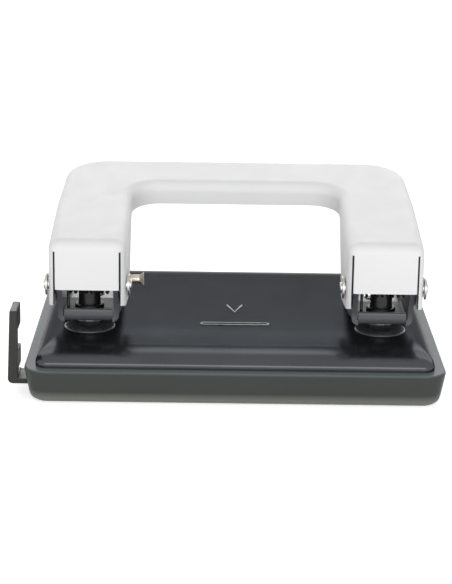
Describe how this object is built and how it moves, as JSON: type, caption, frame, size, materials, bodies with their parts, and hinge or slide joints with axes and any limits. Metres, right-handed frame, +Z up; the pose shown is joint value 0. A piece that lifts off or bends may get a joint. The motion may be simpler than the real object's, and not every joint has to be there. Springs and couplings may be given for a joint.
{
  "type": "two-hole lever punch",
  "caption": "Hand-pressed desk hole punch: a white sprung handle drives round punches through paper over a charcoal base, with a chip tray below and a sliding paper guide.",
  "frame": {"origin": "middle of the chip tray's underside, the face that stands on the table", "axes": "+X to the right as the user sees the paper side, +Y away from the paper side towards the grip bar, +Z up"},
  "size_m": [0.1167, 0.096, 0.0489],
  "materials": {
    "white_enamel": "satin",
    "charcoal_plate": "satin",
    "tray_smoke": "gloss",
    "guide_plastic": "satin",
    "bracket_steel": "satin",
    "rivet_steel": "satin",
    "die_steel": "satin",
    "bush_steel": "satin",
    "axle_steel": "satin",
    "ring_steel": "satin",
    "spring_steel": "satin",
    "punch_steel": "polished",
    "pin_steel": "satin",
    "lock_metal": "satin"
  },
  "bodies": {
    "base": {"base_plate": "charcoal_plate", "left_bracket": "bracket_steel", "left_rivets": "rivet_steel", "left_die": "die_steel", "left_guide_bush": "bush_steel", "left_hinge_axle": "axle_steel", "left_axle_rings": "ring_steel", "left_return_spring": "spring_steel", "right_bracket": "bracket_steel", "right_rivets": "rivet_steel", "right_die": "die_steel", "right_guide_bush": "bush_steel", "right_hinge_axle": "axle_steel", "right_axle_rings": "ring_steel", "right_return_spring": "spring_steel"},
    "handle": {"handle": "white_enamel"},
    "left_punch": {"left_punch": "punch_steel", "left_drive_pin": "pin_steel"},
    "right_punch": {"right_punch": "punch_steel", "right_drive_pin": "pin_steel"},
    "lock_pin": {"lock_pin": "lock_metal"},
    "tray": {"chip_tray": "tray_smoke"},
    "guide": {"paper_guide": "guide_plastic"}
  },
  "joints": [
    {"name": "handle_press", "type": "hinge", "parent": "base", "child": "handle", "pos_m": [0, -0.0272, 0.0274], "axis": [-1, 0, 0], "range_deg": [0, 20], "stiffness_Nm_per_rad": 0.35, "springref_deg": -34.38, "deforming": ["left_return_spring", "right_return_spring"]},
    {"name": "left_punch_slide", "type": "slide", "parent": "base", "child": "left_punch", "axis": [0, 0, -1], "range_m": [0, 0.0026]},
    {"name": "right_punch_slide", "type": "slide", "parent": "base", "child": "right_punch", "axis": [0, 0, -1], "range_m": [0, 0.0026]},
    {"name": "lock_pin_slide", "type": "slide", "parent": "handle", "child": "lock_pin", "axis": [-1, 0, 0], "range_m": [0, 0.0026]},
    {"name": "tray_release", "type": "slide", "parent": "base", "child": "tray", "axis": [0, 0, -1], "range_m": [0, 0.012]},
    {"name": "guide_slide", "type": "slide", "parent": "tray", "child": "guide", "axis": [-1, 0, 0], "range_m": [-0.0015, 0.045]}
  ],
  "couplings": [
    {"joint": "left_punch_slide", "follows": "handle_press", "m_per_rad": 0.007072},
    {"joint": "right_punch_slide", "follows": "handle_press", "m_per_rad": 0.007072}
  ]
}
